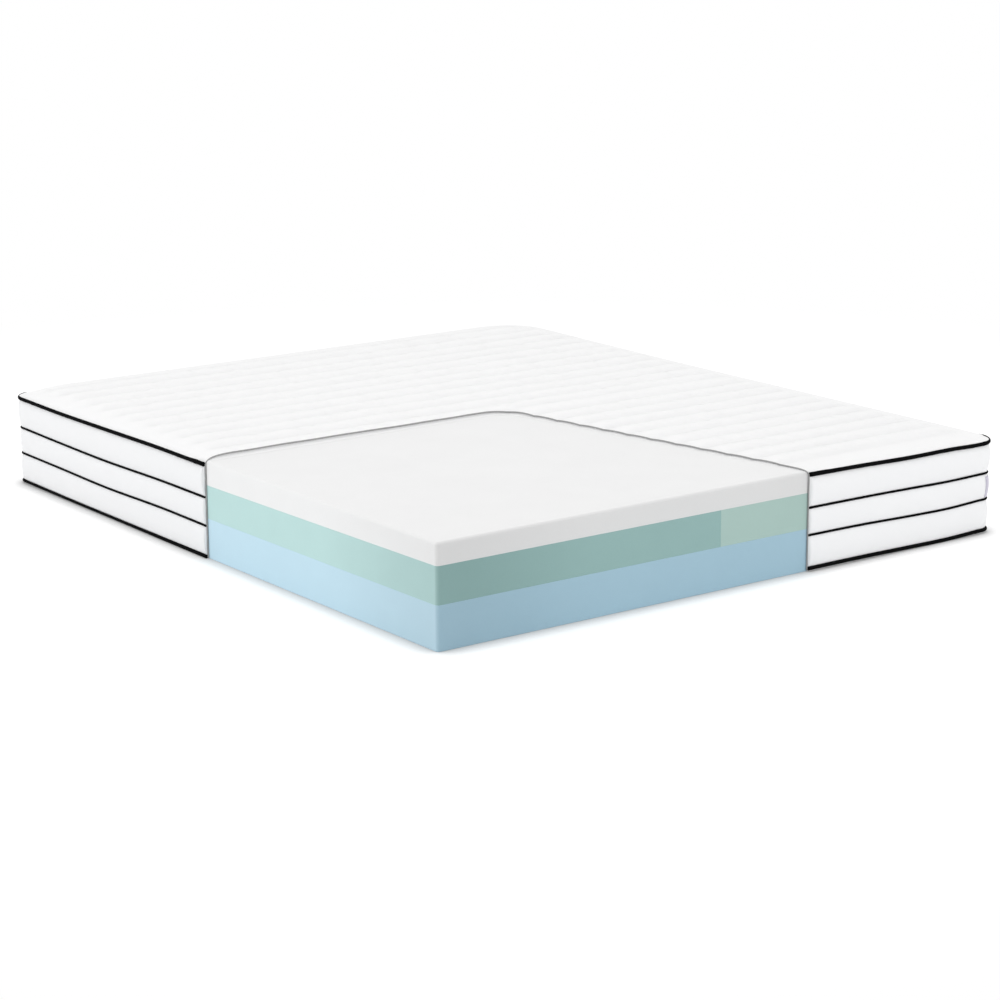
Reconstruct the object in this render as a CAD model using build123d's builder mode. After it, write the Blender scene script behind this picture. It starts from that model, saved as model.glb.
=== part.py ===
import os
from math import asin, cos, degrees, radians, sqrt

from build123d import *

# Memory foam mattress with one corner of its cover opened to show the foam.
# X is the width, Y the length, Z is up; the floor under the middle is the origin.
# The opened corner is at -X, -Y.

# foam core
core_width = 1807.0
core_length = 2112.0
base_height = 107.0
transition_height = 94.0
comfort_height = 56.0
firm_block_width = 858.0
core_corner_radius = 30.0
shown_corner_radius = 10.0
core_top_radius = 9.0

# fabrics, and the clearance between one layer and the next
layer_clearance = 0.5
cloth_thickness = 3.0
sleeve_thickness = 1.0
band_seam_thickness = 4.0
band_puff = 3.5
panel_seam_thickness = 6.5
panel_edge_thickness = 4.0
panel_shoulder = 36.0
panel_upright = 1.0
panel_crown = 4.0
channel_pitch = 84.0
channel_puff = 2.0
least_bow = 0.4
end_sections = 7

# cords in the seams
piping_radius = 4.5
stripe_radius = 2.5
cut_cord_radius = 2.2
top_piping_drop = 10.0
upper_band_rise = 87.5
middle_band_rise = 74.5

# opened corner of the cover, measured from the sides of the foam
opening_along_side = 1040.0
opening_along_end = 1148.0
opening_depth_across = 962.0
opening_corner_radius = 90.0
sleeve_setback = 4.0

# bare label round one corner of the middle band
label_thickness = 0.8
label_margin = 5.0
label_length = 60.0

# zip in the far end, low on the border
zip_end_margin = 53.5
tape_width = 10.0
tape_thickness = 1.0
coil_radius = 1.1
coil_gap = 1.4
stop_length = 5.0
stop_thickness = 3.0
slider_length = 14.0
slider_width = 10.0
slider_plate = 1.2
slider_corner_radius = 3.0
post_length = 5.0
running_clearance = 0.35
pin_radius = 0.6
ear_thickness = 1.2
ear_length = 3.0
eye_wall = 0.6
eye_width = 3.0
pull_thickness = 1.0
pull_width = 6.5
pull_length = 26.0
parked_gap = 2.0

# places that follow from the sizes above
half_width = core_width / 2
half_length = core_length / 2
sleeve_outset = layer_clearance + sleeve_thickness
cover_outset = sleeve_outset + layer_clearance
sleeve_bottom = cloth_thickness + layer_clearance
core_bottom = sleeve_bottom + sleeve_outset
base_top = core_bottom + base_height
transition_top = base_top + transition_height
core_top = transition_top + comfort_height
cover_underside = core_top + cover_outset
top_piping_height = core_top - top_piping_drop
upper_stripe_height = top_piping_height - upper_band_rise
lower_stripe_height = upper_stripe_height - middle_band_rise
panel_bottom = top_piping_height + piping_radius + layer_clearance
panel_edge_top = cover_underside + panel_edge_thickness
panel_outset = cover_outset + panel_seam_thickness
panel_half_width = half_width + panel_outset
panel_half_length = half_length + panel_outset
panel_corner_radius = core_corner_radius + panel_outset
plain_strip = channel_pitch / 2
channelled_length = 2 * (panel_half_length - panel_corner_radius - plain_strip)
channel_count = int(channelled_length // channel_pitch)
zip_length = core_width - 2 * zip_end_margin
bottom_piping_height = piping_radius + layer_clearance
piping_outset = cover_outset + piping_radius
stripe_outset = cover_outset + band_seam_thickness
opening_y = opening_along_side - half_length
opening_x = opening_along_end - half_width
opening_inner_x = opening_depth_across - half_width
past_cover = 100.0

os.makedirs("parts", exist_ok=True)


def outline(outset):
    # sides of the core moved outwards, with the shown corner sharper than the rest
    x = half_width + outset
    y = half_length + outset
    soft = core_corner_radius + outset
    shown = shown_corner_radius + outset
    corners = [(-x, -y), (x, -y), (x, y), (-x, y)]
    return FilletPolyline(*corners, radius=[shown, soft, soft, soft], close=True)


def opening_plan(setback):
    # the opened corner of the cover from above, running out past the shown corner
    lean = (opening_x - opening_inner_x) / opening_along_side
    corners = [
        (-half_width - past_cover, -half_length - past_cover),
        (opening_x + lean * past_cover + setback, -half_length - past_cover),
        (opening_inner_x + setback, opening_y + setback),
        (-half_width - past_cover, opening_y + setback),
    ]
    return FilletPolyline(*corners, radius=[0, 0, opening_corner_radius, 0], close=True)


def seam_route():
    # round the sides of the core from one edge of the opening to the other
    return FilletPolyline(
        (-half_width, opening_y),
        (-half_width, half_length),
        (half_width, half_length),
        (half_width, -half_length),
        (opening_x, -half_length),
        radius=core_corner_radius,
    )


def band_section(bottom, top):
    # flat against the sleeve, puffed outwards between its two seams
    inner = cover_outset
    seam = cover_outset + band_seam_thickness
    middle = (bottom + top) / 2
    Line((inner, bottom), (seam, bottom))
    ThreePointArc((seam, bottom), (seam + band_puff, middle), (seam, top))
    Line((seam, top), (inner, top))
    Line((inner, top), (inner, bottom))


# outwards from the foam is the plane's X, upwards its Y
seam_plane = Plane((-half_width, opening_y, 0), x_dir=(-1, 0, 0), z_dir=(0, 1, 0))

with BuildLine() as seam_line:
    seam_route()

# foam core
with BuildPart() as base_layer:
    with BuildSketch(Plane.XY.offset(core_bottom)):
        with BuildLine():
            outline(0)
        make_face()
    extrude(amount=base_height)

# the middle of the core is two blocks side by side
block_joint = Plane.YZ.offset(firm_block_width - half_width)

with BuildPart() as transition_block_firm:
    with BuildSketch(Plane.XY.offset(base_top)):
        with BuildLine():
            outline(0)
        make_face()
    extrude(amount=transition_height)
    split(bisect_by=block_joint, keep=Keep.BOTTOM)

with BuildPart() as transition_block_soft:
    with BuildSketch(Plane.XY.offset(base_top)):
        with BuildLine():
            outline(0)
        make_face()
    extrude(amount=transition_height)
    split(bisect_by=block_joint, keep=Keep.TOP)

with BuildPart() as comfort_layer:
    with BuildSketch(Plane.XY.offset(transition_top)):
        with BuildLine():
            outline(0)
        make_face()
    extrude(amount=comfort_height)
    fillet(comfort_layer.faces().sort_by(Axis.Z)[-1].edges(), radius=core_top_radius)

# room for the core in the sleeve, and for the sleeve in the cover
with BuildPart() as core_room:
    with BuildSketch(Plane.XY.offset(core_bottom - layer_clearance)):
        with BuildLine():
            outline(layer_clearance)
        make_face()
    extrude(amount=core_top - core_bottom + 2 * layer_clearance)
    fillet(core_room.faces().sort_by(Axis.Z)[-1].edges(), radius=core_top_radius + layer_clearance)

with BuildPart() as sleeve_room:
    with BuildSketch(Plane.XY.offset(core_bottom)):
        with BuildLine():
            outline(cover_outset)
        make_face()
    extrude(amount=cover_underside - core_bottom)
    fillet(sleeve_room.faces().sort_by(Axis.Z)[-1].edges(), radius=core_top_radius + cover_outset)

# fire barrier sleeve, opened a little further than the cover
with BuildPart() as inner_sleeve:
    with BuildSketch(Plane.XY.offset(sleeve_bottom)):
        with BuildLine():
            outline(sleeve_outset)
        make_face()
    extrude(amount=core_top + sleeve_outset - sleeve_bottom)
    fillet(inner_sleeve.faces().sort_by(Axis.Z)[-1].edges(), radius=core_top_radius + sleeve_outset)
    add(core_room.part, mode=Mode.SUBTRACT)
    with BuildSketch(Plane.XY.offset(sleeve_bottom + sleeve_thickness)):
        with BuildLine():
            opening_plan(sleeve_setback)
        make_face()
    extrude(amount=cover_underside, mode=Mode.SUBTRACT)

# cover
with BuildPart() as bottom_panel:
    with BuildSketch(Plane.XY):
        with BuildLine():
            outline(cover_outset)
        make_face()
    extrude(amount=cloth_thickness)

def rounding(inset, radius):
    # how far a quarter circle has risen at this distance from its foot, from 0 to 1
    return sqrt(1 - (1 - min(inset / radius, 1)) ** 2)


def panel_section(y, puff):
    # the panel across the bed: flat foot, rolled shoulders and a crowned top
    inset = panel_half_length - abs(y)
    edge = panel_half_width - panel_corner_radius * (1 - rounding(inset, panel_corner_radius))
    foot = panel_bottom + panel_upright
    rise = least_bow + (panel_edge_top - foot - least_bow) * rounding(inset, panel_shoulder)
    crown = panel_crown * (1 - (y / panel_half_length) ** 2)
    bow = least_bow + (crown + puff) * rounding(inset, panel_corner_radius)
    inner = edge - panel_shoulder
    bend = (edge - panel_shoulder * (1 - sqrt(0.5)), foot + rise * sqrt(0.5))
    Polyline((-edge, foot), (-edge, panel_bottom), (edge, panel_bottom), (edge, foot))
    ThreePointArc((edge, foot), bend, (inner, foot + rise))
    ThreePointArc((inner, foot + rise), (0, foot + rise + bow), (-inner, foot + rise))
    ThreePointArc((-inner, foot + rise), (-bend[0], bend[1]), (-edge, foot))


# sections along the bed: round each end, past a plain strip, then at every sewn line and between them
end_places = []
for step in range(end_sections + 1):
    turn = radians(90 * step / end_sections)
    end_places.append(panel_half_length - panel_corner_radius * (1 - cos(turn)))

panel_places = [(-y, 0) for y in end_places]
first_line = -channel_pitch * channel_count / 2
panel_places.append((first_line - plain_strip, 0))
for channel in range(channel_count):
    line_y = first_line + channel * channel_pitch
    panel_places.append((line_y, 0))
    panel_places.append((line_y + channel_pitch / 2, channel_puff))
panel_places.append((-first_line, 0))
panel_places.append((plain_strip - first_line, 0))
panel_places.extend((y, 0) for y in reversed(end_places))

with BuildPart() as top_panel:
    for place, puff in panel_places:
        with BuildSketch(Plane((0, place, 0), x_dir=(1, 0, 0), z_dir=(0, -1, 0))):
            with BuildLine():
                panel_section(place, puff)
            make_face()
    loft()
    add(sleeve_room.part, mode=Mode.SUBTRACT)
    with BuildSketch(Plane.XY.offset(core_bottom)):
        with BuildLine():
            opening_plan(0)
        make_face()
    extrude(amount=panel_edge_top + past_cover, mode=Mode.SUBTRACT)

lower_band_bottom = bottom_piping_height + piping_radius + layer_clearance
stripe_room = stripe_radius + layer_clearance
zip_height = lower_band_bottom + tape_width
zip_opening_top = zip_height + tape_width + layer_clearance
zip_opening_length = zip_length + 2 * (stop_length + 2 * layer_clearance)

with BuildPart() as lower_band:
    with BuildSketch(seam_plane):
        with BuildLine():
            band_section(lower_band_bottom, lower_stripe_height - stripe_room)
        make_face()
    sweep(path=seam_line.line)
    with BuildSketch(Plane.XY):
        with Locations((0, half_length)):
            Rectangle(zip_opening_length, past_cover)
    extrude(amount=zip_opening_top, mode=Mode.SUBTRACT)

with BuildPart() as middle_band:
    with BuildSketch(seam_plane):
        with BuildLine():
            band_section(lower_stripe_height + stripe_room, upper_stripe_height - stripe_room)
        make_face()
    sweep(path=seam_line.line)

with BuildPart() as upper_band:
    with BuildSketch(seam_plane):
        with BuildLine():
            band_section(
                upper_stripe_height + stripe_room,
                top_piping_height - piping_radius - layer_clearance,
            )
        make_face()
    sweep(path=seam_line.line)

with BuildPart() as bottom_piping:
    with BuildSketch(seam_plane):
        with Locations((piping_outset, bottom_piping_height)):
            Circle(piping_radius)
    sweep(path=seam_line.line)

with BuildPart() as lower_stripe_cord:
    with BuildSketch(seam_plane):
        with Locations((stripe_outset, lower_stripe_height)):
            Circle(stripe_radius)
    sweep(path=seam_line.line)

with BuildPart() as upper_stripe_cord:
    with BuildSketch(seam_plane):
        with Locations((stripe_outset, upper_stripe_height)):
            Circle(stripe_radius)
    sweep(path=seam_line.line)

with BuildPart() as top_piping:
    with BuildSketch(seam_plane):
        with Locations((piping_outset, top_piping_height)):
            Circle(piping_radius)
    sweep(path=seam_line.line)

# grey cord that edges the opening, lying on the foam beside the cut cover
cut_cord_outset = cut_cord_radius + layer_clearance
cut_cord_y = opening_y - cut_cord_outset
cut_cord_x = opening_x - cut_cord_outset
cut_cord_inner_x = opening_inner_x - cut_cord_outset
cut_cord_left = -half_width - cut_cord_outset
cut_cord_front = -half_length - cut_cord_outset
cut_cord_top = core_top + cut_cord_outset
cut_cord_bottom = core_bottom
cut_cord_shoulder = core_top_radius + cut_cord_outset

with BuildLine() as cut_line:
    FilletPolyline(
        (cut_cord_left, cut_cord_y, cut_cord_bottom),
        (cut_cord_left, cut_cord_y, cut_cord_top),
        (cut_cord_inner_x, cut_cord_y, cut_cord_top),
        (cut_cord_x, cut_cord_front, cut_cord_top),
        (cut_cord_x, cut_cord_front, cut_cord_bottom),
        radius=[cut_cord_shoulder, opening_corner_radius, cut_cord_shoulder],
    )

with BuildPart() as cut_edge_cord:
    with BuildSketch(Plane((cut_cord_left, cut_cord_y, cut_cord_bottom))):
        Circle(cut_cord_radius)
    sweep(path=cut_line.line)

# bare label that wraps the corner at +X, -Y
label_bottom = lower_stripe_height + stripe_room + label_margin
label_top = upper_stripe_height - stripe_room - label_margin
label_inset = half_length - core_corner_radius

with BuildLine() as label_line:
    CenterArc((half_width - core_corner_radius, -label_inset), core_corner_radius, -90, 90)
    Line((half_width, -label_inset), (half_width, -label_inset + label_length))

label_plane = Plane(
    (half_width - core_corner_radius, -half_length, 0), x_dir=(0, -1, 0), z_dir=(-1, 0, 0)
)
# the label's arc has the same centre as the puffed face of the band under it
middle_band_chord = middle_band_rise - 2 * stripe_room
middle_height = (upper_stripe_height + lower_stripe_height) / 2
puff_radius = (middle_band_chord**2 / 4 + band_puff**2) / (2 * band_puff)
puff_centre = (cover_outset + band_seam_thickness + band_puff - puff_radius, middle_height)
label_inner = puff_radius + layer_clearance
label_outer = label_inner + label_thickness
label_angle = degrees(asin((label_top - label_bottom) / 2 / label_outer))

with BuildPart() as side_label:
    with BuildSketch(label_plane):
        with BuildLine():
            inner_arc = CenterArc(puff_centre, label_inner, -label_angle, 2 * label_angle)
            outer_arc = CenterArc(puff_centre, label_outer, -label_angle, 2 * label_angle)
            Line(inner_arc @ 0, outer_arc @ 0)
            Line(inner_arc @ 1, outer_arc @ 1)
        make_face()
    sweep(path=label_line.line)

# zip: two tapes with their coils, seen from the far end
plate_inner = cover_outset
coil_outset = plate_inner + slider_plate + running_clearance + coil_radius
coil_centre = coil_gap / 2 + coil_radius
zip_y = half_length + coil_outset
zip_end_plane = Plane((-zip_length / 2, zip_y, zip_height), x_dir=(0, 1, 0), z_dir=(1, 0, 0))

with BuildPart() as zip_tape_upper:
    with BuildSketch(zip_end_plane):
        with Locations((0, coil_centre)):
            Circle(coil_radius)
        with Locations((0, (coil_centre + tape_width) / 2)):
            Rectangle(tape_thickness, tape_width - coil_centre)
    extrude(amount=zip_length)

with BuildPart() as zip_tape_lower:
    with BuildSketch(zip_end_plane):
        with Locations((0, -coil_centre)):
            Circle(coil_radius)
        with Locations((0, -(coil_centre + tape_width) / 2)):
            Rectangle(tape_thickness, tape_width - coil_centre)
    extrude(amount=zip_length)

stop_x = zip_length / 2 + layer_clearance + stop_length / 2
stop_height = 2 * (coil_centre + coil_radius)

with BuildPart() as zip_end_stops:
    with Locations((-stop_x, zip_y, zip_height), (stop_x, zip_y, zip_height)):
        Box(stop_length, stop_thickness, stop_height)

# slider: two plates either side of the coils, joined by a post between them
slider_x = zip_length / 2 - parked_gap - slider_length / 2
plate_outer = coil_outset + coil_radius + running_clearance
eye_radius = pin_radius + running_clearance + eye_wall
pin_outset = plate_outer + slider_plate + running_clearance + eye_radius
pin_y = half_length + pin_outset
ear_inner = eye_width / 2 + running_clearance
back_plate_plane = Plane(
    (slider_x, half_length + plate_inner, zip_height), x_dir=(-1, 0, 0), z_dir=(0, 1, 0)
)
front_plate_plane = Plane(
    (slider_x, half_length + plate_outer, zip_height), x_dir=(-1, 0, 0), z_dir=(0, 1, 0)
)
pin_plane = Plane((slider_x, pin_y, zip_height))

with BuildPart() as zip_slider:
    with BuildSketch(back_plate_plane):
        RectangleRounded(slider_length, slider_width, slider_corner_radius)
    extrude(amount=slider_plate)
    with BuildSketch(front_plate_plane):
        RectangleRounded(slider_length, slider_width, slider_corner_radius)
    extrude(amount=slider_plate)
    with BuildSketch(back_plate_plane):
        Rectangle(post_length, coil_gap - 2 * running_clearance)
    extrude(amount=plate_outer + slider_plate - plate_inner)
    for side in (-1, 1):
        with BuildSketch(pin_plane.offset(side * (ear_inner + ear_thickness / 2))):
            Circle(ear_length / 2)
            with Locations((0, (plate_outer + slider_plate - pin_outset) / 2)):
                Rectangle(ear_length, pin_outset - plate_outer - slider_plate)
        extrude(amount=ear_thickness / 2, both=True)
    with BuildSketch(pin_plane):
        Circle(pin_radius)
    extrude(amount=ear_inner + ear_thickness / 2, both=True)

# pull: an eye round the slider's pin and a flat tab
with BuildPart() as zip_pull:
    with BuildSketch(pin_plane):
        Circle(eye_radius)
        with Locations((-pull_width / 2, 0)):
            Rectangle(pull_width, pull_thickness)
    extrude(amount=eye_width / 2, both=True)
    with BuildSketch(pin_plane):
        with Locations((-(ear_length + pull_length) / 2, 0)):
            Rectangle(pull_length - ear_length, pull_thickness)
    extrude(amount=pull_width / 2, both=True)
    with BuildSketch(pin_plane):
        Circle(pin_radius + running_clearance)
    extrude(amount=pull_width, both=True, mode=Mode.SUBTRACT)

for name, piece in {
    "base_layer": base_layer,
    "transition_block_firm": transition_block_firm,
    "transition_block_soft": transition_block_soft,
    "comfort_layer": comfort_layer,
    "inner_sleeve": inner_sleeve,
    "bottom_panel": bottom_panel,
    "top_panel": top_panel,
    "lower_band": lower_band,
    "middle_band": middle_band,
    "upper_band": upper_band,
    "bottom_piping": bottom_piping,
    "lower_stripe_cord": lower_stripe_cord,
    "upper_stripe_cord": upper_stripe_cord,
    "top_piping": top_piping,
    "cut_edge_cord": cut_edge_cord,
    "side_label": side_label,
    "zip_tape_upper": zip_tape_upper,
    "zip_tape_lower": zip_tape_lower,
    "zip_end_stops": zip_end_stops,
    "zip_slider": zip_slider,
    "zip_pull": zip_pull,
}.items():
    piece.part.label = name
    export_step(piece.part, f"parts/{name}.step")
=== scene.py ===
import math

import bmesh
import bpy
import numpy as np
from mathutils import Matrix, Vector


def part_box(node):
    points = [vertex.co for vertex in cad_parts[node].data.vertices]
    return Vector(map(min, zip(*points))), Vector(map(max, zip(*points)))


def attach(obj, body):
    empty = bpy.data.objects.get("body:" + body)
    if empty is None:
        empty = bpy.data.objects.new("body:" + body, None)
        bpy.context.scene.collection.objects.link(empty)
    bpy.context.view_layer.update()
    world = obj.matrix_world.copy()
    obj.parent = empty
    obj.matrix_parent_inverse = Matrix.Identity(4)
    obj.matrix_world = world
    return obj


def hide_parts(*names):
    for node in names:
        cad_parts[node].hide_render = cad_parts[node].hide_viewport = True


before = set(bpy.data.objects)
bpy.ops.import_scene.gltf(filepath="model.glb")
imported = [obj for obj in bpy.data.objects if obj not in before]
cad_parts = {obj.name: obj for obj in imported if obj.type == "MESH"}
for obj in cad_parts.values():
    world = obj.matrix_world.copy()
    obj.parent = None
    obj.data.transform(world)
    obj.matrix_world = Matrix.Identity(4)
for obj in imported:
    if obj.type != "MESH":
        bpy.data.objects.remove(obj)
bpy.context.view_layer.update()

BODY = "mattress"


def middle_of(node):
    low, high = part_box(node)
    return (low + high) / 2


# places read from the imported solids, in metres
core_low, core_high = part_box("base_layer")
HALF_W, HALF_L = core_high.x, core_high.y
CORE_BOTTOM, BASE_TOP = core_low.z, core_high.z
TRANSITION_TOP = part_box("transition_block_firm")[1].z
CORE_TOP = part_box("comfort_layer")[1].z
BLOCK_JOINT_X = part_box("transition_block_firm")[1].x
TOP_PIPING_Z = middle_of("top_piping").z
BOTTOM_PIPING_Z = middle_of("bottom_piping").z
UPPER_STRIPE_Z = middle_of("upper_stripe_cord").z
LOWER_STRIPE_Z = middle_of("lower_stripe_cord").z
LABEL_LOW, LABEL_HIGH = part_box("side_label")
TAPE_LOW, TAPE_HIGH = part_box("zip_tape_lower")[0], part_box("zip_tape_upper")[1]

# sizes that the solids share
CORE_R = 0.030
PIPING_OUT, STRIPE_OUT = 0.0065, 0.0060
OPEN_Y = 1.040 - HALF_L
OPEN_X = 1.148 - HALF_W
OPEN_IN_X = 0.962 - HALF_W
OPEN_R = 0.090
CHANNEL = 0.084
CHANNELS = 23
FIRST_LINE = -CHANNEL * CHANNELS / 2
RIM_OUT = 0.0085
RIM_CORNER = 0.0385
ZIP_OPENING_HALF = 0.856
ZIP_OPENING_TOP = 0.0305

# cords as they look once sewn in
TOP_PIPING_R = 0.0059
BOTTOM_PIPING_R = 0.0049
STRIPE_R = 0.0029
CUT_CORD_R = 0.0020
SEAM_GAP = 0.0002


def smoothstep(a, b, x):
    t = np.clip((x - a) / (b - a), 0, 1)
    return t * t * (3 - 2 * t)


def ripples(seed, shortest, longest, count):
    """A repeatable uneven wave along one length, about -1 to 1."""
    rng = np.random.default_rng(seed)
    lengths = np.geomspace(shortest, longest, count) * rng.uniform(0.85, 1.15, count)
    phases = rng.uniform(0, 2 * math.pi, count)

    def wave(s):
        s = np.asarray(s, float)
        total = np.zeros_like(s)
        for length, phase in zip(lengths, phases):
            total = total + np.sin(2 * math.pi * s / length + phase)
        return total / math.sqrt(count)

    return wave


def through(pairs, at):
    """A smooth curve through a few (place, value) pairs."""
    p, v = np.array(pairs, float).T
    slope = np.gradient(v, p)
    at = np.asarray(at, float)
    k = np.clip(np.searchsorted(p, at, side="right") - 1, 0, len(p) - 2)
    h = p[k + 1] - p[k]
    t = np.clip((at - p[k]) / h, 0, 1)
    near = (1 + 2 * t) * (1 - t) ** 2 * v[k] + t * (1 - t) ** 2 * h * slope[k]
    far = t * t * (3 - 2 * t) * v[k + 1] + t * t * (t - 1) * h * slope[k + 1]
    return near + far


def linked(name, data):
    obj = bpy.data.objects.new(name, data)
    bpy.context.scene.collection.objects.link(obj)
    return obj


def new_object(name, verts, faces, uvs=None):
    mesh = bpy.data.meshes.new(name)
    mesh.from_pydata([tuple(v) for v in verts], [], [tuple(f) for f in faces])
    mesh.update()
    if uvs is not None:
        layer = mesh.uv_layers.new(name="cloth")
        index = np.zeros(len(mesh.loops), np.int64)
        mesh.loops.foreach_get("vertex_index", index)
        layer.data.foreach_set("uv", np.asarray(uvs, np.float32)[index].ravel())
    mesh.polygons.foreach_set("use_smooth", np.ones(len(mesh.polygons), bool))
    return linked(name, mesh)


def outward(obj):
    bm = bmesh.new()
    bm.from_mesh(obj.data)
    bmesh.ops.recalc_face_normals(bm, faces=bm.faces)
    bm.to_mesh(obj.data)
    bm.free()


def face_along(obj, axis):
    """Turns a sheet's normals one way, on the whole along an axis (0, 1 or 2)."""
    outward(obj)
    if sum(p.normal[axis] * p.area for p in obj.data.polygons) < 0:
        obj.data.flip_normals()


def grid_faces(rows, columns):
    """Faces of a net of points that are numbered row by row."""
    faces = []
    for i in range(rows - 1):
        for k in range(columns - 1):
            here = i * columns + k
            faces.append((here, here + 1, here + columns + 1, here + columns))
    return faces


def tube_faces(stations, sides):
    """Faces of a tube with capped ends, whose points are numbered ring by ring."""
    faces = []
    for i in range(stations - 1):
        for k in range(sides):
            j = (k + 1) % sides
            faces.append((i * sides + k, i * sides + j, (i + 1) * sides + j, (i + 1) * sides + k))
    faces.append(tuple(range(sides)))
    faces.append(tuple((stations - 1) * sides + k for k in reversed(range(sides))))
    return faces


def slice_mesh(bm, axis, at):
    """Adds a line of points right across a mesh, at one place on an axis."""
    co, no = Vector((0, 0, 0)), Vector((0, 0, 0))
    co[axis], no[axis] = at, 1
    geometry = bm.verts[:] + bm.edges[:] + bm.faces[:]
    bmesh.ops.bisect_plane(bm, geom=geometry, plane_co=co, plane_no=no)


def thicken(obj, thickness):
    """Gives a sheet its thickness, on the side away from its normals."""
    layer = obj.modifiers.new("thickness", "SOLIDIFY")
    layer.thickness, layer.offset = thickness, -1
    bpy.context.view_layer.update()
    done = bpy.data.meshes.new_from_object(obj.evaluated_get(bpy.context.evaluated_depsgraph_get()))
    obj.modifiers.clear()
    old = obj.data
    obj.data = done
    bpy.data.meshes.remove(old)


SWELL_FRAMES = 20
SPARE_CLOTH = 0.008


def swell(obj, held, cap):
    """Cloth with a little to spare, filled from below and sewn down at the held points."""
    scene = bpy.context.scene
    group = obj.vertex_groups.new(name="held")
    group.add([int(i) for i in np.where(held)[0]], 1.0, "REPLACE")
    before = np.array([v.co for v in obj.data.vertices])
    layer = obj.modifiers.new("swell", "CLOTH")
    cloth = layer.settings
    cloth.vertex_group_mass = "held"
    cloth.quality = 5
    cloth.mass = 0.2
    cloth.tension_stiffness = cloth.compression_stiffness = 12
    cloth.shear_stiffness = 6
    cloth.bending_stiffness = 0.05
    cloth.shrink_min = -SPARE_CLOTH
    cloth.use_pressure = True
    cloth.uniform_pressure_force = 4
    cloth.effector_weights.gravity = 0
    layer.collision_settings.use_collision = False
    layer.point_cache.frame_start = 1
    layer.point_cache.frame_end = SWELL_FRAMES
    for step in range(1, SWELL_FRAMES + 1):
        scene.frame_set(step)
    mesh = obj.evaluated_get(bpy.context.evaluated_depsgraph_get()).to_mesh()
    after = np.array([v.co for v in mesh.vertices])
    move = after - before
    far = np.linalg.norm(move, axis=1)
    move *= (np.minimum(far, cap) / np.maximum(far, 1e-9))[:, None]
    obj.modifiers.clear()
    obj.vertex_groups.clear()
    scene.frame_set(1)
    obj.data.vertices.foreach_set("co", (before + move).ravel())
    obj.data.update()


def place(obj, material, nodes=()):
    obj.data.materials.clear()
    obj.data.materials.append(material)
    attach(obj, BODY)
    if nodes:
        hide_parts(*nodes)
    return obj


# materials

def material(name, colour, rough, sheen=0.0, metallic=0.0, specular=0.2):
    made = bpy.data.materials.new(name)
    made.use_nodes = True
    shader = made.node_tree.nodes["Principled BSDF"]
    shader.inputs["Base Color"].default_value = (*colour, 1)
    shader.inputs["Roughness"].default_value = rough
    shader.inputs["Metallic"].default_value = metallic
    shader.inputs["Specular IOR Level"].default_value = specular
    shader.inputs["Sheen Weight"].default_value = sheen
    shader.inputs["Sheen Roughness"].default_value = 0.5
    return made


def shader_of(made):
    return made.node_tree.nodes["Principled BSDF"]


def add(made, kind, **values):
    node = made.node_tree.nodes.new(kind)
    for key, value in values.items():
        if key in node.inputs:
            node.inputs[key].default_value = value
        else:
            setattr(node, key, value)
    return node


def wire(made, source, target):
    made.node_tree.links.new(source, target)


def math_node(made, operation, *values):
    node = add(made, "ShaderNodeMath", operation=operation)
    for socket, value in zip(node.inputs, values):
        if isinstance(value, (int, float)):
            socket.default_value = value
        else:
            wire(made, value, socket)
    return node.outputs[0]


# sockets of a mix node that mixes colours
MIX_FACTOR, MIX_A, MIX_B = 0, 6, 7
MIX_RESULT = 2


def tint(made, factor, dark, light):
    """Base colour between two colours by a factor."""
    mix = add(made, "ShaderNodeMix", data_type="RGBA")
    wire(made, factor, mix.inputs[MIX_FACTOR])
    mix.inputs[MIX_A].default_value = (*dark, 1)
    mix.inputs[MIX_B].default_value = (*light, 1)
    wire(made, mix.outputs[MIX_RESULT], shader_of(made).inputs["Base Color"])
    return mix.outputs[MIX_RESULT]


def shaded(made, colour, factor, shade):
    """A colour that is multiplied by a shade where the factor is 1."""
    mix = add(made, "ShaderNodeMix", data_type="RGBA", blend_type="MULTIPLY")
    wire(made, factor, mix.inputs[MIX_FACTOR])
    wire(made, colour, mix.inputs[MIX_A])
    mix.inputs[MIX_B].default_value = (*shade, 1)
    return mix.outputs[MIX_RESULT]


def map_range(made, value, start, end, at_start, at_end, kind="SMOOTHSTEP"):
    """Takes a value from one range to another, and holds it at both ends."""
    node = add(made, "ShaderNodeMapRange", interpolation_type=kind)
    node.inputs["From Min"].default_value = start
    node.inputs["From Max"].default_value = end
    node.inputs["To Min"].default_value = at_start
    node.inputs["To Max"].default_value = at_end
    wire(made, value, node.inputs["Value"])
    return node.outputs["Result"]


def bump(made, height, depth, strength=1.0):
    node = add(made, "ShaderNodeBump", Strength=strength, Distance=depth)
    wire(made, height, node.inputs["Height"])
    wire(made, node.outputs[0], shader_of(made).inputs["Normal"])


def bands(made, vector, direction, period):
    """Soft bands along a direction, one in each period, in metres."""
    wave = add(made, "ShaderNodeTexWave", wave_type="BANDS", bands_direction=direction)
    wave.inputs["Scale"].default_value = math.pi / 10 / period
    wire(made, vector, wave.inputs["Vector"])
    return wave.outputs["Fac"]


def knit(name, dark, light, across, down, depth, rough=0.9, sheen=0.15):
    """Rows of small stitches: across and down are the stitch's size in metres."""
    made = material(name, light, rough, sheen)
    at = add(made, "ShaderNodeUVMap", uv_map="cloth").outputs[0]
    noise = add(made, "ShaderNodeTexNoise", Scale=900.0, Detail=3.0)
    wire(made, at, noise.inputs["Vector"])
    stitch = math_node(made, "MULTIPLY", bands(made, at, "X", across), bands(made, at, "Y", down))
    height = math_node(made, "ADD", stitch, math_node(made, "MULTIPLY", noise.outputs["Fac"], 0.5))
    bump(made, height, depth)
    tint(made, height, dark, light)
    return made


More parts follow.
